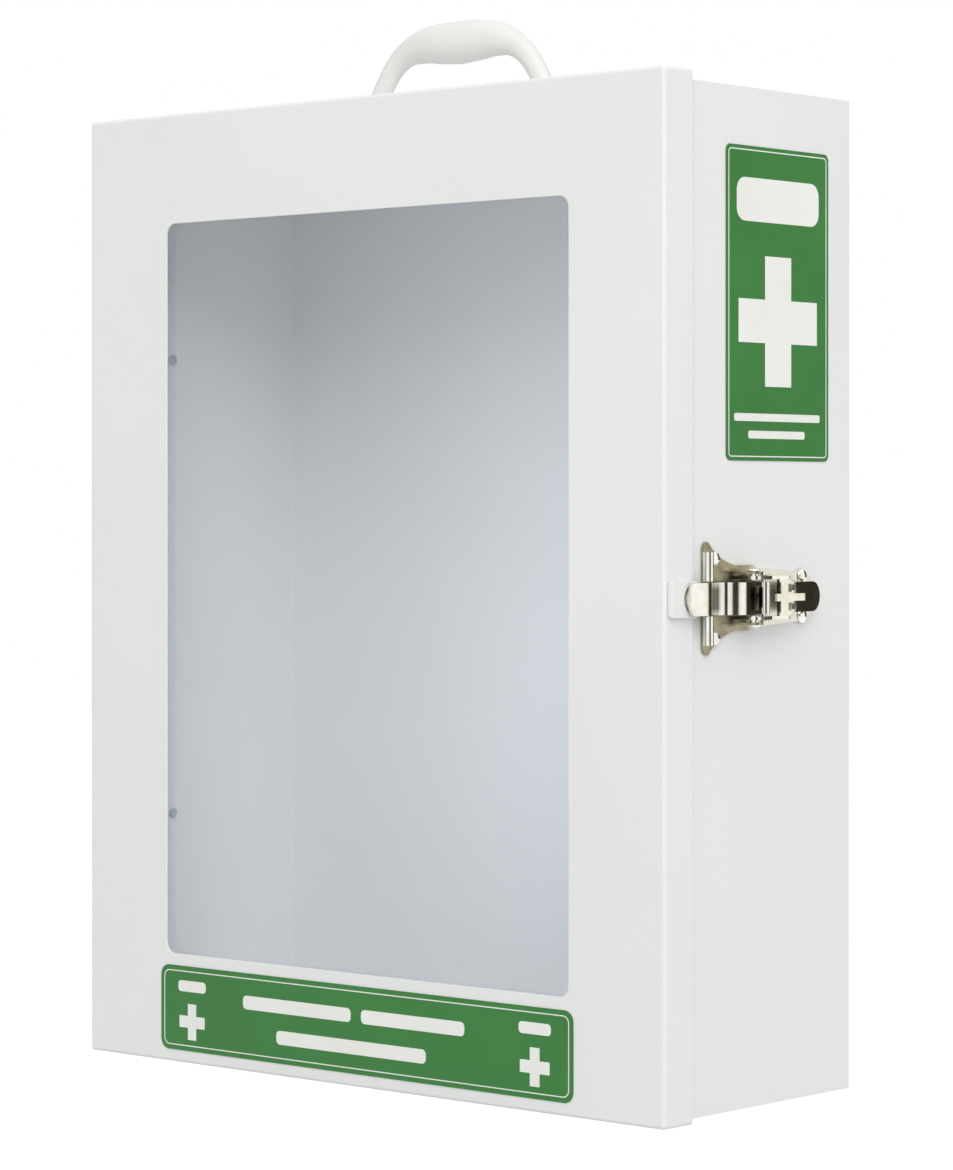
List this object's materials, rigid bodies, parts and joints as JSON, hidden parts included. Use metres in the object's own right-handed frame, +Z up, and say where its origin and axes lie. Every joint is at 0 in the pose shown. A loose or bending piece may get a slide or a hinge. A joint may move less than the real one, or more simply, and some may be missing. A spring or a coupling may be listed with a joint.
{
  "type": "defibrillator wall cabinet",
  "caption": "White steel wall cabinet for a defibrillator, with a glazed hinged door, a side draw latch, green labels and a folding carry handle.",
  "frame": {"origin": "centre of the back panel's outer face, which lies against the wall", "axes": "+X to the viewer's right when facing the door, +Y into the wall, +Z up; the door faces -Y"},
  "size_m": [0.3715, 0.1374, 0.4904],
  "materials": {
    "white_paint": "white powder coat with a fine orange-peel texture, satin",
    "clear_acrylic": "clear cast acrylic, polished",
    "zinc_plate": "bright zinc-plated steel",
    "nickel_plate": "bright nickel-plated pressed steel",
    "green_vinyl": "printed self-adhesive vinyl, semi-gloss",
    "handle_plastic": "moulded off-white plastic, satin",
    "black_rubber": "moulded rubber, matt"
  },
  "bodies": {
    "cabinet": {"cabinet_shell": "white_paint", "top_panel": "white_paint", "bottom_panel": "white_paint", "foot_front_left": "black_rubber", "foot_front_right": "black_rubber", "foot_rear_left": "black_rubber", "foot_rear_right": "black_rubber", "side_label": "green_vinyl", "hinge_upper_cabinet_leaf": "zinc_plate", "hinge_upper_pin": "zinc_plate", "hinge_upper_cabinet_rivet_1": "zinc_plate", "hinge_upper_cabinet_rivet_2": "zinc_plate", "hinge_upper_cabinet_rivet_3": "zinc_plate", "hinge_lower_cabinet_leaf": "zinc_plate", "hinge_lower_pin": "zinc_plate", "hinge_lower_cabinet_rivet_1": "zinc_plate", "hinge_lower_cabinet_rivet_2": "zinc_plate", "hinge_lower_cabinet_rivet_3": "zinc_plate", "latch_base": "nickel_plate", "latch_base_rivet_1": "nickel_plate", "latch_base_rivet_2": "nickel_plate", "latch_base_rivet_3": "nickel_plate", "latch_base_rivet_4": "nickel_plate", "latch_pivot_upper": "nickel_plate", "latch_pivot_lower": "nickel_plate", "handle_bracket_left": "white_paint", "handle_rivet_left_1": "zinc_plate", "handle_rivet_left_2": "zinc_plate", "handle_bracket_right": "white_paint", "handle_rivet_right_1": "zinc_plate", "handle_rivet_right_2": "zinc_plate"},
    "door": {"door_panel": "white_paint", "window_pane": "clear_acrylic", "front_label": "green_vinyl", "latch_keeper": "white_paint", "hinge_upper_door_leaf": "zinc_plate", "hinge_upper_door_rivet_1": "zinc_plate", "hinge_upper_door_rivet_2": "zinc_plate", "hinge_lower_door_leaf": "zinc_plate", "hinge_lower_door_rivet_1": "zinc_plate", "hinge_lower_door_rivet_2": "zinc_plate", "pane_strip_top": "zinc_plate", "pane_nut_top_1": "zinc_plate", "pane_nut_top_2": "zinc_plate", "pane_strip_bottom": "zinc_plate", "pane_nut_bottom_1": "zinc_plate", "pane_nut_bottom_2": "zinc_plate", "pane_strip_left": "zinc_plate", "pane_nut_left_1": "zinc_plate", "pane_nut_left_2": "zinc_plate", "pane_strip_right": "zinc_plate", "pane_nut_right_1": "zinc_plate", "pane_nut_right_2": "zinc_plate"},
    "latch_lever": {"latch_lever": "nickel_plate", "latch_claw_pin": "nickel_plate"},
    "latch_claw": {"latch_claw": "nickel_plate"},
    "handle": {"carry_handle": "handle_plastic"}
  },
  "joints": [
    {"name": "door_hinge", "type": "hinge", "parent": "cabinet", "child": "door", "pos_m": [-0.181, -0.115, 0], "axis": [0, 0, -1], "range_deg": [0, 170]},
    {"name": "latch_lever", "type": "hinge", "parent": "cabinet", "child": "latch_lever", "pos_m": [0.1837, -0.082, 0], "axis": [0, 0, -1], "range_deg": [0, 115]},
    {"name": "latch_claw", "type": "hinge", "parent": "latch_lever", "child": "latch_claw", "pos_m": [0.1829, -0.0737, 0], "axis": [0, 0, -1], "range_deg": [-127, 0]},
    {"name": "handle_fold", "type": "hinge", "parent": "cabinet", "child": "handle", "pos_m": [0, -0.067, 0.2285], "axis": [1, 0, 0], "range_deg": [-80, 80]}
  ],
  "couplings": [
    {"joint": "latch_claw", "follows": "latch_lever", "ratio": -1.1}
  ]
}
